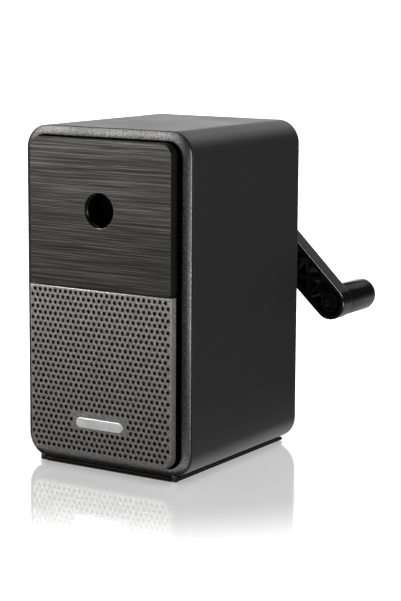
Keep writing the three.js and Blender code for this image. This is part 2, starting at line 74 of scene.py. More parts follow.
SHELL_LO, SHELL_HI, _ = box("shell")
CORNER = 8 * MM
WALL = 2 * MM
RIM = 3.2 * MM
RIM_CORNER = 5 * MM
PANEL_CORNER = 4 * MM
HOLE_R = 5.8 * MM
PLATE_FRAME = 0.45 * MM
DIMPLE_DEPTH = 0.78 * MM

AXIS_Z = joints["crank_turn"]["pos_m"][2]
KNOB_X, _, KNOB_Z = joints["knob_spin"]["pos_m"]
THROW = math.hypot(KNOB_X, KNOB_Z - AXIS_Z)
ARM_ANGLE = math.atan2(KNOB_Z - AXIS_Z, KNOB_X)


# ---- Material tools ----

def new_material(name, base, roughness, metallic=0.0, specular=0.5):
    mat = bpy.data.materials.new(name)
    mat.use_nodes = True
    tree = mat.node_tree
    shader = tree.nodes["Principled BSDF"]
    shader.inputs["Base Color"].default_value = (*base, 1)
    shader.inputs["Roughness"].default_value = roughness
    shader.inputs["Metallic"].default_value = metallic
    shader.inputs["Specular IOR Level"].default_value = specular
    return mat, tree, shader


def add_node(tree, kind, inputs=None, **settings):
    """A node with its settings, its plain input numbers and its links."""
    made = tree.nodes.new(kind)
    for key, value in settings.items():
        setattr(made, key, value)
    for label, value in (inputs or {}).items():
        if isinstance(value, bpy.types.NodeSocket):
            tree.links.new(value, made.inputs[label])
        else:
            made.inputs[label].default_value = value
    return made


def coords(tree, scale=(1, 1, 1)):
    """Object coordinates in metres, stretched along each axis."""
    place = add_node(tree, "ShaderNodeTexCoord")
    stretch = add_node(tree, "ShaderNodeMapping", {"Vector": place.outputs["Object"], "Scale": scale})
    return stretch.outputs["Vector"]


def noise(tree, vector, scale, detail=3.0, rough=0.55):
    inputs = {"Vector": vector, "Scale": scale, "Detail": detail, "Roughness": rough}
    return add_node(tree, "ShaderNodeTexNoise", inputs).outputs["Fac"]


def ramp(tree, factor, stops):
    """Maps a factor through stops of (place, grey or colour)."""
    made = add_node(tree, "ShaderNodeValToRGB", {"Fac": factor})
    elements = made.color_ramp.elements
    while len(elements) < len(stops):
        elements.new(0.5)
    for element, (place, value) in zip(elements, stops):
        element.position = place
        element.color = (*value, 1) if isinstance(value, tuple) else (value, value, value, 1)
    return made.outputs["Color"]


def mix_colour(tree, factor, a, b):
    made = add_node(tree, "ShaderNodeMix", data_type="RGBA")
    for socket, value in ((made.inputs[0], factor), (made.inputs[6], a), (made.inputs[7], b)):
        if isinstance(value, bpy.types.NodeSocket):
            tree.links.new(value, socket)
        else:
            socket.default_value = (*value, 1) if isinstance(value, tuple) else value
    return made.outputs[2]


def mix_value(tree, factor, a, b):
    made = add_node(tree, "ShaderNodeMix", {0: factor, 2: a, 3: b}, data_type="FLOAT")
    return made.outputs[0]


def feed(tree, shader, **links):
    for label, output in links.items():
        tree.links.new(output, shader.inputs[label.replace("_", " ")])


def bump(tree, height, strength, distance, under=None):
    inputs = {"Height": height, "Strength": strength, "Distance": distance}
    if under is not None:
        inputs["Normal"] = under
    return add_node(tree, "ShaderNodeBump", inputs).outputs["Normal"]


def edge_wear_and_highlight_mask(tree, radius, low=0.02, high=0.16):
    """White along a shape's corners, black on its faces; for rubbed edges and for painted edge highlights."""
    rounded = add_node(tree, "ShaderNodeBevel", {"Radius": radius}, samples=4)
    plain = add_node(tree, "ShaderNodeNewGeometry")
    dot = add_node(tree, "ShaderNodeVectorMath", operation="DOT_PRODUCT")
    tree.links.new(rounded.outputs["Normal"], dot.inputs[0])
    tree.links.new(plain.outputs["Normal"], dot.inputs[1])
    away = add_node(tree, "ShaderNodeMath", {0: 1.0, 1: dot.outputs["Value"]}, operation="SUBTRACT")
    return ramp(tree, away.outputs["Value"], [(low, 0.0), (high, 1.0)])


def paint_shade_downwards(tree, colour, bounds, low):
    """Paints shade on a panel: its colour darkens from the top down to the bottom, as if light from above fell
    off.
    """
    place = add_node(tree, "ShaderNodeTexCoord")
    split = add_node(tree, "ShaderNodeSeparateXYZ", {"Vector": place.outputs["Object"]})
    height = add_node(tree, "ShaderNodeMapRange", {
        "Value": split.outputs["Z"], "From Min": bounds[0].z, "From Max": bounds[1].z, "To Min": low,
    })
    dim = add_node(tree, "ShaderNodeVectorMath", {0: colour}, operation="SCALE")
    tree.links.new(height.outputs["Result"], dim.inputs["Scale"])
    return dim.outputs["Vector"]


def scaled(colour, factor):
    return tuple(min(1.0, channel * factor) for channel in colour)


# ---- Materials ----

def casing_material():
    """Matte black moulding with a fine spark-eroded grain, a little polished along its edges."""
    base = (0.0105, 0.0104, 0.0110)
    mat, tree, shader = new_material("casing_black", base, 0.5, specular=0.28)
    grain = noise(tree, coords(tree), 2400, 3, 0.6)
    patches = noise(tree, coords(tree), 42, 4, 0.6)
    colour = ramp(tree, grain, [(0.3, scaled(base, 0.75)), (0.7, scaled(base, 1.35))])
    colour = mix_colour(tree, edge_wear_and_highlight_mask(tree, 0.5 * MM), colour, scaled(base, 1.8))
    feed(tree, shader, Base_Color=colour, Roughness=ramp(tree, patches, [(0.3, 0.47), (0.7, 0.54)]))
    feed(tree, shader, Normal=bump(tree, grain, 0.3, 0.1 * MM))
    return mat


def flake_paint(name, dark, light, roughness, metallic, panel=None):
    """Gunmetal paint: fine bright flakes in a dark coat, with a painted highlight along the edges.

    On a panel, painted shade darkens it downwards and makes the walls of its dimples almost black.
    """
    mat, tree, shader = new_material(name, light, roughness, metallic)
    flakes = noise(tree, coords(tree), 2500, 2, 0.7)
    grains = noise(tree, coords(tree), 1500, 2, 0.5)
    clouds = noise(tree, coords(tree), 55, 3, 0.5)
    colour = ramp(tree, flakes, [(0.34, dark), (0.56, light), (0.75, scaled(light, 1.9))])
    colour = mix_colour(tree, ramp(tree, clouds, [(0.3, 0.0), (0.7, 0.25)]), colour, scaled(dark, 0.8))
    # Painted highlight: a lighter line along the edges, as if they caught the light.
    colour = mix_colour(tree, edge_wear_and_highlight_mask(tree, 0.25 * MM), colour, scaled(light, 1.5))
    # Painted shade: darker towards the panel's bottom, and nearly black on the dimple walls.
    if panel is not None:
        colour = paint_shade_downwards(tree, colour, panel, 0.68)
        recess = add_node(tree, "ShaderNodeAttribute", attribute_name="recess")
        colour = mix_colour(tree, recess.outputs["Fac"], colour, scaled(dark, 0.05))
    gloss = ramp(tree, clouds, [(0.3, roughness - 0.03), (0.7, roughness + 0.04)])
    fine = bump(tree, flakes, 0.25, 0.08 * MM)
    normal = bump(tree, grains, 0.1, 0.1 * MM, fine)
    feed(tree, shader, Base_Color=colour, Roughness=gloss, Normal=normal)
    return mat


def brushed_material():
    """Dark anodised plate, brushed from side to side with long broken strokes."""
    mat, tree, shader = new_material("brushed_plate", (0.08, 0.08, 0.08), 0.38, 0.85)
    long_strokes = noise(tree, coords(tree, (16, 16, 6500)), 1, 1, 0.5)
    fine_strokes = noise(tree, coords(tree, (60, 60, 8200)), 1, 1, 0.5)
    bands = noise(tree, coords(tree, (6, 6, 600)), 1, 2, 0.6)
    strokes = mix_value(tree, 0.5, long_strokes, fine_strokes)
    strokes = mix_value(tree, 0.03, strokes, bands)
    colour = ramp(tree, strokes, [
        (0.37, (0.016, 0.016, 0.015)), (0.46, (0.04, 0.039, 0.037)), (0.54, (0.084, 0.082, 0.078)),
        (0.63, (0.24, 0.235, 0.224)),
    ])
    # Painted shade: the plate darkens towards its bottom, as if the light from above fell off.
    colour = paint_shade_downwards(tree, colour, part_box("face_plate"), 0.75)
    # Painted highlight: the plate's edges are painted lighter, as if catching the light.
    edges = edge_wear_and_highlight_mask(tree, 0.15 * MM)
    colour = mix_colour(tree, edges, colour, (0.22, 0.22, 0.21))
    gloss = ramp(tree, strokes, [(0.38, 0.46), (0.68, 0.3)])
    feed(tree, shader, Base_Color=colour, Roughness=mix_colour(tree, edges, gloss, (0.62, 0.62, 0.62)))
    feed(tree, shader, Normal=bump(tree, strokes, 0.3, 0.1 * MM))
    return mat


def plastic(name, base, roughness, specular=0.5, grain_scale=1500, strength=0.12, worn=1.6):
    """Moulded plastic: uneven in colour and gloss, with a faint skin texture and lighter corners."""
    mat, tree, shader = new_material(name, base, roughness, specular=specular)
    grain = noise(tree, coords(tree), grain_scale, 3, 0.55)
    patches = noise(tree, coords(tree), 75, 4, 0.6)
    colour = ramp(tree, patches, [(0.3, scaled(base, 0.75)), (0.7, scaled(base, 1.3))])
    colour = mix_colour(tree, edge_wear_and_highlight_mask(tree, 0.2 * MM), colour, scaled(base, worn))
    gloss = ramp(tree, patches, [(0.3, roughness * 0.85), (0.7, roughness * 1.15)])
    feed(tree, shader, Base_Color=colour, Roughness=gloss, Normal=bump(tree, grain, strength, 0.08 * MM))
    return mat


def metal(name, base, roughness, stretch=(1, 1, 1), scale=900, strength=0.15, metallic=1.0):
    """Machined metal: turning or drawing marks in one direction, uneven gloss and bright corners."""
    mat, tree, shader = new_material(name, base, roughness, metallic)
    marks = noise(tree, coords(tree, stretch), scale, 3, 0.6)
    patches = noise(tree, coords(tree), 130, 3, 0.6)
    colour = ramp(tree, marks, [(0.3, scaled(base, 0.78)), (0.7, scaled(base, 1.12))])
    colour = mix_colour(tree, edge_wear_and_highlight_mask(tree, 0.15 * MM), colour, scaled(base, 1.25))
    gloss = ramp(tree, patches, [(0.3, roughness * 0.8), (0.7, roughness * 1.3)])
    feed(tree, shader, Base_Color=colour, Roughness=gloss, Normal=bump(tree, marks, strength, 0.06 * MM))
    return mat


def rubber_material():
    base = (0.042, 0.024, 0.015)
    mat, tree, shader = new_material("rubber", base, 0.85, specular=0.3)
    grain = noise(tree, coords(tree), 900, 4, 0.6)
    colour = ramp(tree, grain, [(0.3, scaled(base, 0.6)), (0.7, scaled(base, 1.5))])
    gloss = ramp(tree, grain, [(0.3, 0.92), (0.7, 0.78)])
    feed(tree, shader, Base_Color=colour, Roughness=gloss, Normal=bump(tree, grain, 0.5, 0.15 * MM))
    return mat


FLOOR_SHINE = 0.3
# How bright the floor looks beside the object, where it is dimmed as painted shade, and far off; and the two
# distances between which it rises.
FLOOR_SHADED, FLOOR_WHITE = 0.56, 1.4
FLOOR_NEAR, FLOOR_FAR = 0.07, 0.13
# How much light it throws on the object.
FLOOR_CAST = 0.08


def floor_material():
    """A pale light table with a faint even shine, dimmer round the object as painted shade, whiter away from it.

    It lights the object less than it looks to the eye.
    """
    mat, tree, shader = new_material("floor", (0.8, 0.8, 0.8), 0.6, specular=0.0)
    clouds = noise(tree, coords(tree), 3, 2, 0.5)
    path = add_node(tree, "ShaderNodeLightPath")
    place = add_node(tree, "ShaderNodeTexCoord")
    away = add_node(tree, "ShaderNodeVectorMath", {0: place.outputs["Object"]}, operation="LENGTH")
    # Painted shade: the floor glows dimmer near the object and rises to white away from it.
    rise = add_node(tree, "ShaderNodeMapRange", {
        "Value": away.outputs["Value"], "From Min": FLOOR_NEAR, "From Max": FLOOR_FAR,
        "To Min": FLOOR_SHADED, "To Max": FLOOR_WHITE,
    }, interpolation_type="SMOOTHSTEP")
    seen = rise.outputs["Result"]
    cast = ramp(tree, clouds, [(0.3, FLOOR_CAST - 0.005), (0.7, FLOOR_CAST + 0.005)])
    camera_ray = path.outputs["Is Camera Ray"]
    pale = ramp(tree, clouds, [(0.3, 0.79), (0.7, 0.81)])
    grey = ramp(tree, clouds, [(0.3, 0.29), (0.7, 0.31)])
    feed(tree, shader, Base_Color=mix_colour(tree, camera_ray, grey, pale))
    feed(tree, shader, Emission_Color=mix_colour(tree, camera_ray, cast, seen))
    shader.inputs["Emission Strength"].default_value = 1.0
    shine = add_node(tree, "ShaderNodeBsdfGlossy", {"Color": (1, 1, 1, 1), "Roughness": 0.07})
    mix = add_node(tree, "ShaderNodeMixShader", {"Fac": FLOOR_SHINE})
    tree.links.new(shader.outputs["BSDF"], mix.inputs[1])
    tree.links.new(shine.outputs["BSDF"], mix.inputs[2])
    tree.links.new(mix.outputs["Shader"], tree.nodes["Material Output"].inputs["Surface"])
    return mat


MATERIALS = {
    "casing_black": casing_material(),
    "bezel_gunmetal": flake_paint("bezel_gunmetal", (0.031, 0.03, 0.03), (0.102, 0.099, 0.098), 0.38, 1.0),
    "drawer_gunmetal": flake_paint(
        "drawer_gunmetal", (0.127, 0.123, 0.119), (0.32, 0.31, 0.296), 0.42, 0.65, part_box("drawer_front"),
    ),
    "inner_black": plastic("inner_black", (0.003, 0.003, 0.0033), 0.42, 0.15, strength=0.1),
    "crank_black": plastic("crank_black", (0.0018, 0.0018, 0.002), 0.17, 0.5, strength=0.04),
    "gloss_black": plastic("gloss_black", (0.0018, 0.0018, 0.002), 0.19, 0.5, strength=0.02),
    "grey_plastic": plastic("grey_plastic", (0.13, 0.135, 0.14), 0.45),
    "brushed_plate": brushed_material(),
    "satin_silver": metal("satin_silver", (0.5, 0.5, 0.5), 0.5, (60, 60, 2500), 1, 0.1, 0.5),
    "brass": metal("brass", (0.62, 0.44, 0.17), 0.3),
    "steel": metal("steel", (0.56, 0.56, 0.58), 0.3),
    "rubber": rubber_material(),
}


# ---- Outlines, as points in the XZ plane going round anticlockwise ----

def panel_outline(half_x, z_low, z_high, r_low, r_high, steps=16):
    """A rectangle whose bottom and top corners have their own radii."""
    corners = (
        (half_x - r_low, z_low + r_low, r_low, -90), (half_x - r_high, z_high - r_high, r_high, 0),
        (-half_x + r_high, z_high - r_high, r_high, 90), (-half_x + r_low, z_low + r_low, r_low, 180),
    )
    points = []
    for x, z, r, start in corners:
        for i in range(steps + 1 if r > 0 else 1):
            a = math.radians(start + 90 * i / steps)
            points.append((x + r * math.cos(a), z + r * math.sin(a)))
    return points


def casing_outline(inset):
    """The casing's outline, shrunk by an inset all round."""
    r = max(CORNER - inset, 0.1 * MM)
    return panel_outline(SHELL_HI.x - inset, SHELL_LO.z + inset, SHELL_HI.z - inset, r, r)


def circle(r, count=48, x=0.0, z=AXIS_Z):
    turn = 2 * math.pi / count
    return [(x + r * math.cos(i * turn), z + r * math.sin(i * turn)) for i in range(count)]


def pill(half_x, r, z, steps=12):
    points = []
    for side, start in ((1, -90), (-1, 90)):
        for i in range(steps + 1):
            a = math.radians(start + 180 * i / steps)
            points.append((side * (half_x - r) + r * math.cos(a), z + r * math.sin(a)))
    return points


def arc(inset, y, r, start, end, steps):
    """Points of a profile on an arc about (inset, y), with angles in degrees."""
    angles = [math.radians(start + (end - start) * i / steps) for i in range(steps + 1)]
    return [(inset + r * math.cos(a), y + r * math.sin(a)) for a in angles]


# ---- Mesh tools ----

def add_ring(bm, points, y):
    return [bm.verts.new((x, y, z)) for x, z in points]


def bridge(bm, low, high):
    """Faces between two rings. A ring of one point is a tip."""
    count = max(len(low), len(high))
    for i in range(count):
        j = (i + 1) % count
        if len(low) == 1:
            bm.faces.new((low[0], high[j], high[i]))
        elif len(high) == 1:
            bm.faces.new((low[i], low[j], high[0]))
        else:
            bm.faces.new((low[i], low[j], high[j], high[i]))


def shade(obj, sharp=32):
    mesh = obj.data
    mesh.polygons.foreach_set("use_smooth", [True] * len(mesh.polygons))
    mesh.set_sharp_from_angle(angle=math.radians(sharp))


def finish_mesh(bm, name, sharp=32):
    bmesh.ops.remove_doubles(bm, verts=bm.verts, dist=1e-7)
    bmesh.ops.recalc_face_normals(bm, faces=bm.faces)
    mesh = bpy.data.meshes.new(name)
    bm.to_mesh(mesh)
    bm.free()
    obj = bpy.data.objects.new(name, mesh)
    bpy.context.scene.collection.objects.link(obj)
    shade(obj, sharp)
    return obj


def weigh(obj):
    """Large flat faces keep flat shading beside their small rounded edges."""
    mod = obj.modifiers.new("weighted", "WEIGHTED_NORMAL")
    mod.keep_sharp = True
    mod.weight = 100


def soften(obj, width, segments=2, clamp=True):
    """Rounds the sharp edges a little."""
    mod = obj.modifiers.new("edges", "BEVEL")
    mod.width = width
    mod.segments = segments
    mod.limit_method = "ANGLE"
    mod.angle_limit = math.radians(32)
    mod.use_clamp_overlap = clamp
    mod.miter_outer = "MITER_ARC"
    weigh(obj)
    return obj


def loft(name, shape, profile, closed=False, caps=False):
    """Sweeps a profile of (inset, y) points round the outline that shape(inset) gives."""
    bm = bmesh.new()
    rings = [add_ring(bm, shape(inset), y) for inset, y in profile]
    for low, high in zip(rings, rings[1:]):
        bridge(bm, low, high)
    if closed:
        bridge(bm, rings[-1], rings[0])
    if caps:
        bm.faces.new(rings[0])
        bm.faces.new(rings[-1])
    return finish_mesh(bm, name)


def lathe(name, profile, x=0.0, z=AXIS_Z, count=48, closed=False):
    """Turns a profile of (radius, y) points about the Y axis through (x, z)."""
    bm = bmesh.new()
    rings = [
        add_ring(bm, circle(r, count, x, z), y) if r > 0 else [bm.verts.new((x, y, z))] for r, y in profile
    ]
    for low, high in zip(rings, rings[1:]):
        bridge(bm, low, high)
    if closed:
        bridge(bm, rings[-1], rings[0])
    return finish_mesh(bm, name)


def tube(name, outer, inner, y_low, y_high, x=0.0, z=AXIS_Z, round_r=0.2 * MM, count=48):
    """A ring along Y with rounded edges."""
    r = round_r
    profile = arc(inner + r, y_low + r, r, 180, 270, 3) + arc(outer - r, y_low + r, r, 270, 360, 3)
    profile += arc(outer - r, y_high - r, r, 0, 90, 3) + arc(inner + r, y_high - r, r, 90, 180, 3)
    return lathe(name, profile, x, z, count, closed=True)


def prism(name, points, y_low, y_high):
    return loft(name, lambda inset: points, [(0, y_low), (0, y_high)], caps=True)


def block(name, lo, hi):
    points = [(lo[0], lo[2]), (hi[0], lo[2]), (hi[0], hi[2]), (lo[0], hi[2])]
    return prism(name, points, lo[1], hi[1])


def rod(name, r, y_low, y_high, x=0.0, z=AXIS_Z, count=32):
    return prism(name, circle(r, count, x, z), y_low, y_high)


def upright(r, x, y, z_low, z_high, count=24):
    """A round peg along Z."""
    bm = bmesh.new()
    outline = circle(r, count, z=0)
    rings = [[bm.verts.new((x + px, y + py, z)) for px, py in outline] for z in (z_low, z_high)]
    bridge(bm, rings[0], rings[1])
    for ring in rings:
        bm.faces.new(ring)
    return finish_mesh(bm, "peg")


def combine(base, tools, operation="DIFFERENCE"):
    """Cuts or joins solids exactly, and removes the tools."""
    for tool in tools:
        mod = base.modifiers.new("combine", "BOOLEAN")
        mod.operation = operation
        mod.solver = "EXACT"
        mod.object = tool
        graph = bpy.context.evaluated_depsgraph_get()
        mesh = bpy.data.meshes.new_from_object(base.evaluated_get(graph))
        base.modifiers.clear()
        base.data = mesh
        bpy.data.objects.remove(tool)
    shade(base)
    return base


def piece(obj, body, node):
    """Gives a piece its finish, lets it ride on its body, and hides the CAD node that it stands for."""
    slot = slot_of[node]
    obj.data.materials.clear()
    obj.data.materials.append(MATERIALS[slot])
    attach(obj, body)
    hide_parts(node)
    return obj


# ---- Casing ----

def make_shell():
    """The tube: a small round at the joint with the bezel, and a wider one at the rear edge."""
    front, back = SHELL_LO.y, SHELL_HI.y
    small, wide = 0.2 * MM, 0.4 * MM
    profile = [(WALL, front)] + arc(small, front + small, small, -90, -180, 4)
    profile += arc(wide, back - wide, wide, 180, 90, 6) + [(WALL, back)]
    shell = loft("casing_shell", casing_outline, profile, closed=True)
    weigh(shell)
    piece(shell, "housing", "shell")


def rim_outline(inset):
    """The casing's outline outside, passing into the bezel's smaller inner corner."""
    r = CORNER - max(inset, 0) / RIM * (CORNER - RIM_CORNER)
    return panel_outline(SHELL_HI.x - inset, SHELL_LO.z + inset, SHELL_HI.z - inset, r, r)


def make_bezel():
    """A crowned ring, highest beside the panels and falling back towards the casing, on two small legs."""
    lo, hi, _ = box("front_bezel")
    crown, bend, edge, groove = 2.85 * MM, 5.2 * MM, 0.5 * MM, 0.2 * MM
    lean = math.degrees(math.asin((crown - edge) / (bend - edge)))
    edge_y = lo.y + bend - (bend - edge) * math.cos(math.radians(lean))
    profile = [(RIM, hi.y), (groove, hi.y), (groove, hi.y - groove), (0, hi.y - groove)]
    profile += arc(edge, edge_y, edge, 180, 270 - lean, 6)
    profile += arc(crown, lo.y + bend, bend, 270 - lean, 270, 8)[1:]
    profile += arc(RIM - 0.3 * MM, lo.y + 0.3 * MM, 0.3 * MM, 272, 360, 5)
    bezel = loft("bezel_ring", rim_outline, profile, closed=True)
    leg_in, leg_out, leg_top = 25.7 * MM, 27.4 * MM, SHELL_LO.z + 0.9 * MM
    legs = []
    for side in (-1, 1):
        x_low, x_high = sorted((side * leg_in, side * leg_out))
        legs.append(block("leg", (x_low, lo.y + 0.3 * MM, lo.z), (x_high, hi.y, leg_top)))
    combine(bezel, legs, "UNION")
    weigh(bezel)
    piece(bezel, "housing", "front_bezel")


def make_plinth():
    """The black frame that the casing stands on, with a tongue between the bezel's legs and four pegs.

    It reaches from the pad's thin border up to the casing, so that no gap shows between them.
    """
    lo, hi, _ = box("base_plate")
    pad_lo, _, _ = box("base_pad")
    low, high = pad_lo.z + 0.27 * MM, SHELL_LO.z
    window_x, window_y = 22.3 * MM, 27.3 * MM
    tongue_x, tongue_end = 25.4 * MM, SHELL_LO.y + MM
    peg_r, peg_x, peg_y = 1.5 * MM, 24.9 * MM, 20 * MM
    plinth = block("plinth_frame", (lo.x, SHELL_LO.y, low), (hi.x, hi.y, high))
    combine(plinth, [block("tongue", (-tongue_x, lo.y, low), (tongue_x, tongue_end, high))], "UNION")
    combine(plinth, [block("window", (-window_x, -window_y, lo.z - MM), (window_x, window_y, high + MM))])
    pegs = [upright(peg_r, x, y, low + 0.1 * MM, hi.z) for x in (-peg_x, peg_x) for y in (-peg_y, peg_y)]
    combine(plinth, pegs, "UNION")
    soften(plinth, 0.12 * MM)
    piece(plinth, "housing", "base_plate")


def make_rear_cover():
    """The lid that closes the casing, with a raised border and clearance for its screws and the bearing."""
    lo, hi, _ = box("rear_cover")
    inset = SHELL_HI.x - hi.x
    lid = loft("rear_lid", lambda extra: casing_outline(inset + extra), [
        (0.15 * MM, lo.y), (0, lo.y + 0.15 * MM), (0, hi.y - 0.3 * MM), (0.3 * MM, hi.y), (2.2 * MM, hi.y),
        (2.6 * MM, hi.y - 0.4 * MM),
    ], caps=True)
    cuts = [rod("cut", 6.5 * MM, lo.y - MM, hi.y + MM, count=64)]
    for name in ("rear_cover_screw_1", "rear_cover_screw_2", "rear_cover_screw_3", "rear_cover_screw_4"):
        _, _, mid = box(name)
        cuts.append(rod("cut", 1.4 * MM, lo.y - MM, hi.y + MM, mid.x, mid.z))
    for name in ("bearing_screw_left", "bearing_screw_right"):
        _, _, mid = box(name)
        cuts.append(rod("cut", 1.3 * MM, lo.y - MM, hi.y + MM, mid.x, mid.z))
    combine(lid, cuts)
    weigh(lid)
    piece(lid, "housing", "rear_cover")


def make_screw(node, body, head_r, head, shank_r):
    """A pan-head screw along Y with a cross recess, its head to the rear."""
    lo, hi, mid = box(node)
    y = hi.y - head
    profile = [(0, lo.y), (shank_r * 0.6, lo.y + 0.3 * MM), (shank_r, lo.y + 1.2 * MM), (shank_r, y)]
    profile += [(head_r - 0.15 * MM, y), (head_r, y + 0.15 * MM), (head_r, y + head * 0.45)]
    for i in range(1, 7):
        a = math.radians(90 * i / 6)
        profile.append((head_r * math.cos(a) if i < 6 else 0, y + head * (0.45 + 0.55 * math.sin(a))))
    screw = lathe(node + "_pan", profile, mid.x, mid.z, 32)
    reach, half, deep = head_r * 0.55, head_r * 0.12, head * 0.65
    arms = []
    for half_x, half_z in ((reach, half), (half, reach)):
        low = (mid.x - half_x, hi.y - deep, mid.z - half_z)
        high = (mid.x + half_x, hi.y + MM, mid.z + half_z)
        arms.append(block("cross", low, high))
    combine(screw, arms)
    piece(screw, body, node)


def make_bearing():
    """The round bearing housing on the rear cover, with a stepped boss round the bush."""
    lo, hi, _ = box("rear_bearing")
    flange = 2 * MM
    boss_r, bore_r, flange_r = 6.2 * MM, 4.7 * MM, hi.x
    profile = [(bore_r, lo.y), (flange_r - 0.2 * MM, lo.y)]
    profile += arc(flange_r - 0.6 * MM, lo.y + flange - 0.6 * MM, 0.6 * MM, 0, 90, 4)
    profile += arc(boss_r + 0.8 * MM, lo.y + flange + 0.8 * MM, 0.8 * MM, 270, 180, 4)
    profile += arc(boss_r - 0.4 * MM, hi.y - 0.4 * MM, 0.4 * MM, 0, 90, 3)
    profile += [(bore_r + 0.2 * MM, hi.y), (bore_r, hi.y - 0.2 * MM)]
    bearing = lathe("crank_bearing", profile, count=64, closed=True)
    holes = []
    for name in ("bearing_screw_left", "bearing_screw_right"):
        _, _, mid = box(name)
        holes.append(rod("cut", 1.3 * MM, lo.y - MM, hi.y + MM, mid.x, mid.z))
    combine(bearing, holes)
    piece(bearing, "housing", "rear_bearing")


# ---- Carriage ----

def make_face_plate():
    """The brushed plate, sunk in the carriage's thin black frame."""
    lo, hi, _ = box("face_plate")
    r = PANEL_CORNER - PLATE_FRAME
    outline = panel_outline(hi.x - PLATE_FRAME, lo.z, hi.z - PLATE_FRAME, 0, r)
    plate = prism("brushed_face", outline, lo.y, hi.y)
    combine(plate, [rod("cut", HOLE_R, lo.y - MM, hi.y + MM, count=72)])
    soften(plate, 0.07 * MM)
    piece(plate, "carriage", "face_plate")


def make_carriage_block():
    """The sliding block: a thin frame round the plate, a flange as deep as the panel's side, then a step."""
    lo, hi, _ = box("carriage_block")
    plate_lo, _, _ = box("face_plate")
    front = plate_lo.y + 0.1 * MM
    flange, step, frame_in = 1.7 * MM, 0.5 * MM, PLATE_FRAME - 0.1 * MM

    def shape(inset):
        r = PANEL_CORNER - inset
        return panel_outline(hi.x - inset, lo.z + inset, hi.z - inset, 0, r)

    profile = [(frame_in, lo.y), (frame_in, front)]
    profile += arc(0.15 * MM, front + 0.15 * MM, 0.15 * MM, 270, 180, 3)
    profile += arc(0.2 * MM, lo.y + flange - 0.2 * MM, 0.2 * MM, 180, 90, 3)
    profile += [(step, lo.y + flange + 0.05 * MM), (step, hi.y - 0.4 * MM), (step + 0.4 * MM, hi.y)]
    body = loft("carriage_body", shape, profile, caps=True)
    pocket_x, pocket_z = 8.4 * MM, 13.2 * MM
    _, bush_hi, _ = box("entry_bushing")
    pocket_low = (-pocket_x, bush_hi.y + GAP, AXIS_Z - pocket_z)
    pocket_high = (pocket_x, hi.y + MM, AXIS_Z + pocket_z)
    tools = [
        rod("cut", bush_hi.x + GAP, lo.y - MM, bush_hi.y + MM, count=64),
        block("cut", pocket_low, pocket_high),
    ]
    for name in ("guide_rod_left", "guide_rod_right"):
        rod_lo, rod_hi, mid = box(name)
        r = rod_hi.x - mid.x + GAP
        tools.append(rod("cut", r, rod_lo.y - GAP, hi.y + MM, mid.x, mid.z))
    for name in ("jaw_cover_screw_left", "jaw_cover_screw_right"):
        screw_lo, _, mid = box(name)
        tools.append(rod("cut", MM, screw_lo.y - GAP, hi.y + MM, mid.x, mid.z))
    combine(body, tools)
    weigh(body)
    piece(body, "carriage", "carriage_block")


def make_entry_bushing():
    """The polished ring inside the pencil hole, with a rounded lip."""
    lo, hi, _ = box("entry_bushing")
    inner, outer = 5.3 * MM, hi.x
    profile = [(outer, lo.y), (outer, hi.y), (inner + 0.1 * MM, hi.y), (inner, hi.y - 0.2 * MM)]
    profile += arc(inner + 0.7 * MM, lo.y + 0.7 * MM, 0.7 * MM, 180, 270, 6)
    bushing = lathe("entry_ring", profile, count=72, closed=True)
    piece(bushing, "carriage", "entry_bushing")


def make_jaw(node):
    """A jaw: a block with a half-round mouth that grips the pencil."""
    lo, hi, _ = box(node)
    jaw = block(node + "_grip", lo, hi)
    combine(jaw, [rod("cut", 5 * MM, lo.y - MM, hi.y + MM, count=64)])
    soften(jaw, 0.3 * MM)
    piece(jaw, node, node)


def make_jaw_cover():
    lo, hi, _ = box("jaw_cover")
    cover = block("jaw_retainer", lo, hi)
    tools = [rod("cut", 5.6 * MM, lo.y - MM, hi.y + MM, count=64)]
    for name in ("jaw_cover_screw_left", "jaw_cover_screw_right"):
        _, _, mid = box(name)
        tools.append(rod("cut", MM, lo.y - MM, hi.y + MM, mid.x, mid.z))
    combine(cover, tools)
    soften(cover, 0.2 * MM)
    piece(cover, "carriage", "jaw_cover")


def make_rods():
    for side in ("left", "right"):
        node = "guide_rod_" + side
        lo, hi, mid = box(node)
        r = hi.x - mid.x
        tip = 0.4 * MM
        profile = [(0, lo.y), (r - tip, lo.y), (r, lo.y + tip), (r, hi.y - tip), (r - tip, hi.y), (0, hi.y)]
        piece(lathe(node + "_turned", profile, mid.x, mid.z, 32), "carriage", node)
        node = "rod_washer_" + side
        lo, hi, mid = box(node)
        washer = tube(node + "_ring", hi.x - mid.x, r + GAP, lo.y, hi.y, mid.x, mid.z, 0.15 * MM)
        piece(washer, "carriage", node)


def make_springs():
    """Round-wire coils that the washers squeeze against the bulkhead as the carriage comes out."""
    turns, per_turn, sides, wire = 11, 28, 8, 0.33 * MM
    flat_turns = 0.8
    along = Vector((0, 1, 0))
    for side in ("left", "right"):
        node = "return_spring_" + side
        lo, hi, mid = box(node)
        r = hi.x - mid.x - 0.35 * MM
        count = turns * per_turn
        bm = bmesh.new()
        rings = []
        for i in range(count + 1):
            share = i / count
            a = 2 * math.pi * turns * share
            climb = min(1, max(0, (share * turns - flat_turns) / (turns - 2 * flat_turns)))
            y = lo.y + wire + (hi.y - lo.y - 2 * wire) * climb
            out = Vector((math.cos(a), 0, math.sin(a)))
            centre = Vector((mid.x, y, mid.z)) + r * out
            angles = [2 * math.pi * k / sides for k in range(sides)]
            rings.append([
                bm.verts.new(centre + wire * (math.cos(t) * out + math.sin(t) * along)) for t in angles
            ])
        for low, high in zip(rings, rings[1:]):
            bridge(bm, low, high)
        bm.faces.new(rings[0])
        bm.faces.new(rings[-1])
        spring = finish_mesh(bm, node + "_coil", 60)
        piece(spring, "housing", node)
        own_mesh(spring)


# ---- Drawer ----

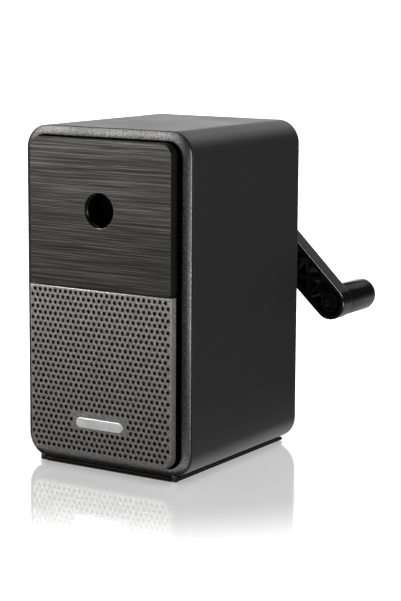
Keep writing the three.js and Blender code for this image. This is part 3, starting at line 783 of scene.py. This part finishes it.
def dimple_places():
    """Staggered rows of dimples, left out round the nameplate and in the two bottom corners."""
    _, hi, _ = box("drawer_front")
    _, badge_hi, badge_mid = box("badge")
    rows, row_pitch, first = 28, 1.937 * MM, 1.45 * MM
    long_row, edge = 27, 1.1 * MM
    pitch = 2 * (hi.x - edge) / (long_row - 1)
    places = []
    for row in range(rows):
        z = hi.z - first - row * row_pitch
        count = long_row - 1 + row % 2
        for i in range(count):
            x = (i - (count - 1) / 2) * pitch
            near_badge = abs(z - badge_mid.z) < 2.9 * MM and abs(x) < badge_hi.x + 1.0 * MM
            corner = row == rows - 1 and i in (0, count - 1)
            if not near_badge and not corner:
                places.append((x, z))
    return places


def make_drawer_front():
    """A thick front with blind dimples and a shallow seat for the nameplate."""
    lo, hi, _ = box("drawer_front")
    _, badge_hi, badge_mid = box("badge")
    edge = 0.35 * MM
    dimple_r, count = 0.74 * MM, 14

    def shape(inset):
        return panel_outline(hi.x - inset, lo.z + inset, hi.z - inset, PANEL_CORNER - inset, 0)

    profile = arc(edge, lo.y + edge, edge, 270, 180, 4)
    profile += [(0, hi.y - 0.2 * MM), (0.2 * MM, hi.y)]
    bm = bmesh.new()
    # Each vertex's share of painted shade: full on the dimple walls, a little on their floors.
    recess = bm.verts.layers.float.new("recess")
    rings = [add_ring(bm, shape(inset), y) for inset, y in profile]
    for low, high in zip(rings, rings[1:]):
        bridge(bm, low, high)
    bm.faces.new(rings[-1])

    seat = pill(badge_hi.x + 0.12 * MM, badge_hi.z - badge_mid.z + 0.12 * MM, badge_mid.z)
    places = dimple_places()
    loops = [shape(edge), seat] + [circle(dimple_r, count, x, z) for x, z in places]
    points, faces = [], []
    for loop_points in loops:
        faces.append(list(range(len(points), len(points) + len(loop_points))))
        points += [Vector(p) for p in loop_points]
    flat, _, triangles, _, _, face_of = delaunay_2d_cdt(points, [], faces, 1, 1e-7)
    verts = [bm.verts.new((p.x, lo.y, p.y)) for p in flat]
    for triangle, inside in zip(triangles, face_of):
        if list(inside) == [0]:
            bm.faces.new([verts[i] for i in triangle])

    wall = [
        (dimple_r, 0), (dimple_r - 0.04 * MM, 0.04 * MM), (dimple_r - 0.06 * MM, DIMPLE_DEPTH - 0.06 * MM),
        (dimple_r - 0.12 * MM, DIMPLE_DEPTH),
    ]
    # Painted shade for the rim, the two wall rings, the floor ring and the centre.
    painted_shade_shares = (0, 1, 1, 0.15, 0)
    for x, z in places:
        rings = [add_ring(bm, circle(r, count, x, z), lo.y + depth) for r, depth in wall]
        rings.append([bm.verts.new((x, lo.y + DIMPLE_DEPTH, z))])
        for ring, share in zip(rings, painted_shade_shares):
            for vert in ring:
                vert[recess] = share
        for low, high in zip(rings, rings[1:]):
            bridge(bm, low, high)
    rings = [add_ring(bm, seat, lo.y), add_ring(bm, seat, lo.y + 0.7 * MM)]
    bridge(bm, rings[0], rings[1])
    bm.faces.new(rings[1])
    front = finish_mesh(bm, "dimpled_front")
    piece(front, "drawer", "drawer_front")


def make_badge():
    """The blank nameplate: a satin pill with a slightly domed edge."""
    lo, hi, mid = box("badge")
    r = hi.z - mid.z
    profile = [(0, hi.y)] + arc(0.3 * MM, lo.y + 0.3 * MM, 0.3 * MM, 180, 270, 4)
    badge = loft("nameplate", lambda inset: pill(hi.x - inset, r - inset, mid.z), profile, caps=True)
    weigh(badge)
    piece(badge, "drawer", "badge")


def make_drawer_bin():
    lo, hi, _ = box("drawer_bin")
    wall = 1.5 * MM
    outline = panel_outline(hi.x, lo.z, hi.z, 3.5 * MM, 0)
    inside = panel_outline(hi.x - wall, lo.z + wall, hi.z + 5 * MM, 2.5 * MM, 0)
    tray = prism("shavings_tray", outline, lo.y, hi.y)
    combine(tray, [prism("cut", inside, lo.y + wall, hi.y - wall)])
    soften(tray, 0.3 * MM)
    piece(tray, "drawer", "drawer_bin")


# ---- Crank ----

def arm_points(points):
    """Turns (along, across) points of the arm into (x, z)."""
    c, s = math.cos(ARM_ANGLE), math.sin(ARM_ANGLE)
    return [(u * c - v * s, AXIS_Z + u * s + v * c) for u, v in points]


def arm_outline(inset, steps=28):
    """Two round ends joined by straight edges."""
    hub_r, end_r = 6.7 * MM - inset, 6.05 * MM - inset
    lean = math.acos((hub_r - end_r) / THROW)
    points = []
    for i in range(steps + 1):
        a = lean + (2 * math.pi - 2 * lean) * i / steps
        points.append((hub_r * math.cos(a), hub_r * math.sin(a)))
    for i in range(steps + 1):
        a = -lean + 2 * lean * i / steps
        points.append((THROW + end_r * math.cos(a), end_r * math.sin(a)))
    return arm_points(points)


def arm_bar(start, end, thickness, y_low, y_high):
    """A rib between two (along, across) points."""
    (u0, v0), (u1, v1) = start, end
    length = math.hypot(u1 - u0, v1 - v0)
    du, dv = (u1 - u0) / length, (v1 - v0) / length
    h = thickness / 2
    corners = [(u0 + dv * h, v0 - du * h), (u1 + dv * h, v1 - du * h), (u1 - dv * h, v1 + du * h),
               (u0 - dv * h, v0 + du * h)]
    return prism("rib", arm_points(corners), y_low, y_high)


def make_crank_arm():
    """The arm: a rounded bar, hollow towards the casing, with a lattice of ribs in the hollow."""
    lo, hi, _ = box("crank_arm")
    wall, rib = 1.5 * MM, 1.1 * MM
    front = hi.y - 6.4 * MM
    floor, tool_low = hi.y - wall, front - MM
    cell_start, cell, cells = 19.2 * MM, 9.6 * MM, 3
    side = 4.55 * MM
    hollow = prism("hollow", arm_outline(wall), tool_low, floor)
    last = cell_start + cells * cell
    y = (tool_low - MM, floor + MM)
    ribs = [arm_bar((0, 0), (cell_start, 0), rib, *y), arm_bar((last, 0), (THROW, 0), rib, *y)]
    for i in range(cells + 1):
        u = cell_start + i * cell
        ribs.append(arm_bar((u, -9 * MM), (u, 9 * MM), rib, *y))
    for i in range(cells):
        for sign in (-1, 1):
            u = cell_start + (i + 0.5) * cell
            ribs.append(arm_bar((u - cell, -2 * sign * side), (u + cell, 2 * sign * side), rib, *y))
    ribs.append(rod("boss", 7.4 * MM, *y, count=64))
    ribs.append(rod("boss", 3.3 * MM, *y, KNOB_X, KNOB_Z, 48))
    combine(hollow, ribs)

    front_edge, rear_edge = 0.6 * MM, 0.5 * MM
    profile = arc(front_edge, front + front_edge, front_edge, 270, 180, 6)
    profile += arc(rear_edge, hi.y - rear_edge, rear_edge, 180, 90, 5)
    arm = loft("crank_lever", arm_outline, profile, caps=True)
    combine(arm, [hollow])
    hub_r, hub_edge = 5.6 * MM, 0.2 * MM
    hub_profile = [(0, lo.y), (hub_r - hub_edge, lo.y), (hub_r, lo.y + hub_edge)]
    hub_profile += [(hub_r, front + MM), (0, front + MM)]
    hub = lathe("hub", hub_profile, count=64)
    combine(arm, [hub], "UNION")
    _, shaft_hi, _ = box("crank_shaft")
    combine(arm, [
        rod("cut", 3.3 * MM, lo.y - MM, shaft_hi.y + GAP, count=48),
        rod("cut", 1.6 * MM, lo.y - MM, hi.y + MM, count=32),
        rod("cut", 2.6 * MM, front - MM, front + 2.7 * MM, KNOB_X, KNOB_Z, 40),
        rod("cut", 1.9 * MM, front - MM, hi.y + MM, KNOB_X, KNOB_Z, 40),
    ])
    weigh(arm)
    piece(arm, "crank", "crank_arm")


def make_knob():
    """The polished grip: a plain cylinder with a full round at its end, and a snap bore inside."""
    lo, hi, _ = box("knob")
    r = hi.x - KNOB_X
    bore, catch_r = 1.9 * MM, 2.6 * MM
    catch_y, bore_end = 62 * MM, 66 * MM
    end = 2.3 * MM
    profile = [(bore, lo.y)] + arc(r - 0.5 * MM, lo.y + 0.5 * MM, 0.5 * MM, 270, 360, 4)
    profile += arc(r - end, hi.y - end, end, 0, 84, 9) + [(0, hi.y)]
    profile += [(0, bore_end), (catch_r, bore_end), (catch_r, catch_y), (bore, catch_y)]
    bm = bmesh.new()
    rings = [
        add_ring(bm, circle(q, 72, KNOB_X, KNOB_Z), y) if q > 0 else [bm.verts.new((KNOB_X, y, KNOB_Z))]
        for q, y in profile
    ]
    outside = [i for i, (q, _) in enumerate(profile) if q <= 0][0]
    for i, (low, high) in enumerate(zip(rings, rings[1:])):
        if i != outside:
            bridge(bm, low, high)
    bridge(bm, rings[-1], rings[0])
    knob = finish_mesh(bm, "knob_grip")
    piece(knob, "knob", "knob")


def make_knob_pin():
    lo, hi, _ = box("knob_pin")
    head_r, r, tip_r = 2.3 * MM, 1.6 * MM, 2.2 * MM
    head, tip = 1.2 * MM, 62.6 * MM
    profile = [(0, lo.y + 0.25 * MM), (1.0 * MM, lo.y + 0.25 * MM), (1.15 * MM, lo.y)]
    profile += arc(head_r - 0.25 * MM, lo.y + 0.25 * MM, 0.25 * MM, 270, 360, 3)
    profile += [(head_r, lo.y + head), (r, lo.y + head), (r, tip), (tip_r, tip + 0.4 * MM)]
    profile += [(tip_r, hi.y - 1.5 * MM), (r - 0.5 * MM, hi.y), (0, hi.y)]
    piece(lathe("snap_pin", profile, KNOB_X, KNOB_Z, 40), "crank", "knob_pin")


def dress_cad_nodes():
    """Gives the CAD nodes that stay in view their finishes and slightly rounded edges."""
    for node, obj in frame["nodes"].items():
        if obj.hide_render:
            continue
        obj.data.materials.clear()
        obj.data.materials.append(MATERIALS[slot_of[node]])
        shade(obj)
        soften(obj, 0.12 * MM)


# ---- Camera, light and floor ----

def make_camera():
    """The viewpoint, from the right and slightly above, with a long lens and no shift."""
    azimuth, elevation, roll = (math.radians(a) for a in (32.45, 9.69, 0.33))
    aim = Vector((0, 0, 60 * MM))
    aside, above, distance = -12.21 * MM, 7.3 * MM, 621.72 * MM
    flat = math.cos(elevation)
    back = Vector((math.sin(azimuth) * flat, -math.cos(azimuth) * flat, math.sin(elevation)))
    right = Vector((0, 0, 1)).cross(back).normalized()
    up = back.cross(right)
    right, up = math.cos(roll) * right + math.sin(roll) * up, math.cos(roll) * up - math.sin(roll) * right
    place = aim + back * distance - right * aside - up * above
    data = bpy.data.cameras.new("camera")
    data.lens = 108.8
    data.sensor_width = 36
    camera = bpy.data.objects.new("camera", data)
    camera.matrix_world = Matrix((
        (right.x, up.x, back.x, place.x), (right.y, up.y, back.y, place.y),
        (right.z, up.z, back.z, place.z), (0, 0, 0, 1),
    ))
    bpy.context.scene.collection.objects.link(camera)
    bpy.context.scene.camera = camera


def area_light(name, place, size, power, only=None, skip=None, target=(0, 0, 0.08)):
    """A softbox the eye can't see. It lights only the given objects, or all but the skipped ones."""
    data = bpy.data.lights.new(name, "AREA")
    data.shape = "RECTANGLE"
    data.size, data.size_y = size
    data.energy = power
    light = bpy.data.objects.new(name, data)
    light.location = place
    light.visible_camera = False
    light.rotation_euler = (Vector(target) - Vector(place)).to_track_quat("-Z", "Y").to_euler()
    bpy.context.scene.collection.objects.link(light)
    group = bpy.data.collections.new("group_" + name)
    for obj in only or skip:
        group.objects.link(obj)
    if not only:
        for member in group.collection_objects:
            member.light_linking.link_state = "EXCLUDE"
    light.light_linking.receiver_collection = group


def sun_light(direction, strength, angle, floor):
    """An even light for the floor alone, with very soft shadows."""
    data = bpy.data.lights.new("sun", "SUN")
    data.energy = strength
    data.angle = math.radians(angle)
    light = bpy.data.objects.new("sun", data)
    light.rotation_euler = Vector(direction).to_track_quat("-Z", "Y").to_euler()
    bpy.context.scene.collection.objects.link(light)
    lit = bpy.data.collections.new("lit_by_sun")
    lit.objects.link(floor)
    light.light_linking.receiver_collection = lit


def named(*names):
    return [bpy.data.objects[name] for name in names]


def make_lights(table):
    """Softboxes that each light a few pieces, so that every surface keeps its own gleam and shade."""
    crank = named("crank_lever", "knob_grip", "snap_pin")
    shell, bezel, ring, drawer = named("casing_shell", "bezel_ring", "entry_ring", "dimpled_front")
    fronts = named("bezel_ring", "dimpled_front", "brushed_face")
    sides = named("casing_shell", "plinth_frame")
    left, right = (-0.38, -0.45, 0.38), (0.9, -0.12, 0.12)

    # The main light from the front left, broader for the casing and the bezel, and a soft one from above.
    area_light("key", left, (0.14, 0.3), 7, skip=[table, shell, bezel, ring])
    area_light("shell_key", (-0.38, -0.45, 0.62), (0.7, 0.7), 5, only=[shell])
    area_light("bezel_key", left, (0.5, 0.5), 5.5, only=[bezel])
    area_light("top", (-0.1, 0.0, 0.8), (0.5, 0.5), 2, skip=[table])

    # The right side, and low gleams from the front right.
    area_light("side", right, (0.12, 0.5), 10, skip=[table, drawer] + crank)
    area_light("drawer_side", right, (0.12, 0.5), 8, only=[drawer])
    area_light("strip", (0.6, -0.72, 0.1), (0.08, 0.5), 0.8, only=fronts + [ring])
    area_light("glint", (0.42, -0.8, 0.14), (0.1, 0.25), 1.5, only=[ring])

    # Behind the casing, where its top mirrors them.
    area_light("back", (-0.5, 0.9, 0.3), (0.9, 0.35), 1.6, only=[shell])
    area_light("back_high", (0.05, 0.8, 0.62), (0.6, 0.4), 1.8, only=[shell])

    # Light as if thrown up by the table, at the lowest edges, the bezel and the crank.
    area_light("bounce", (0.034, 0.02, 0.0008), (0.012, 0.12), 0.006, only=sides, target=(0.034, 0.02, 1))
    area_light("lip", (0, -0.055, 0.0008), (0.08, 0.03), 0.016, only=[bezel], target=(0, -0.055, 1))
    area_light("edge", (0.4, -0.25, 0.001), (0.6, 0.4), 4.8, only=[bezel] + crank, target=(0.4, -0.25, 1))
    area_light("crank_floor", (0.04, 0.2, 0.001), (0.3, 0.3), 0.12, only=crank, target=(0.04, 0.2, 1))

    # The crank's own highlights.
    area_light("crank_back", (0.1, 1.0, 0.7), (0.5, 0.35), 0.22, only=crank)
    area_light("crank_front", (0.5, -0.45, 0.6), (0.35, 0.5), 9, only=crank)


BACKDROP = Vector((-0.54, 0.84, 0))
ROOM_LIGHT = 0.02
BACKDROP_LIGHT = 1.0
WORLD_STRENGTH = 2.0


def make_world():
    """White surroundings for the eye. As light, a dim room with a broad white backdrop behind the object."""
    world = bpy.data.worlds.new("studio")
    world.use_nodes = True
    tree = world.node_tree
    tree.nodes.clear()
    place = add_node(tree, "ShaderNodeTexCoord")
    towards = {0: place.outputs["Generated"], 1: BACKDROP}
    dot = add_node(tree, "ShaderNodeVectorMath", towards, operation="DOT_PRODUCT")
    split = add_node(tree, "ShaderNodeSeparateXYZ", {"Vector": place.outputs["Generated"]})
    across = ramp(tree, dot.outputs["Value"], [(0.78, 0.0), (0.88, 1.0)])
    upwards = ramp(tree, split.outputs["Z"], [(0.0, 0.0), (0.04, 1.0), (0.24, 1.0), (0.36, 0.0)])
    both = add_node(tree, "ShaderNodeMath", {0: across, 1: upwards}, operation="MULTIPLY")
    glow = ramp(tree, both.outputs["Value"], [(0.0, ROOM_LIGHT), (1.0, BACKDROP_LIGHT)])
    cast = add_node(tree, "ShaderNodeBackground", {"Color": glow, "Strength": WORLD_STRENGTH})
    seen = add_node(tree, "ShaderNodeBackground", {"Color": (1, 1, 1, 1), "Strength": 1.0})
    path = add_node(tree, "ShaderNodeLightPath")
    mix = add_node(tree, "ShaderNodeMixShader", {"Fac": path.outputs["Is Camera Ray"]})
    tree.links.new(cast.outputs["Background"], mix.inputs[1])
    tree.links.new(seen.outputs["Background"], mix.inputs[2])
    out = add_node(tree, "ShaderNodeOutputWorld")
    tree.links.new(mix.outputs["Shader"], out.inputs["Surface"])
    bpy.context.scene.world = world


def make_floor():
    bm = bmesh.new()
    bmesh.ops.create_grid(bm, x_segments=8, y_segments=8, size=8)
    floor = finish_mesh(bm, "floor")
    floor.data.materials.append(floor_material())
    return floor


bpy.context.scene.view_settings.view_transform = "Standard"
make_camera()
make_world()
make_shell()
make_bezel()
make_plinth()
make_rear_cover()
make_bearing()
for number in range(1, 5):
    make_screw(f"rear_cover_screw_{number}", "housing", 2.5 * MM, 1.3 * MM, 1.1 * MM)
for side_name in ("left", "right"):
    make_screw(f"bearing_screw_{side_name}", "housing", 2.2 * MM, 1.2 * MM, 1.0 * MM)
    make_screw(f"jaw_cover_screw_{side_name}", "carriage", 1.7 * MM, 1.0 * MM, 0.7 * MM)
make_face_plate()
make_carriage_block()
make_entry_bushing()
make_jaw("upper_jaw")
make_jaw("lower_jaw")
make_jaw_cover()
make_rods()
make_springs()
make_drawer_front()
make_badge()
make_drawer_bin()
make_crank_arm()
make_screw("crank_screw", "crank", 3.4 * MM, 1.5 * MM, 1.2 * MM)
make_knob()
make_knob_pin()

dress_cad_nodes()
table = make_floor()
sun_light((-0.12, -0.08, -1.0), 1.1, 60, table)
make_lights(table)
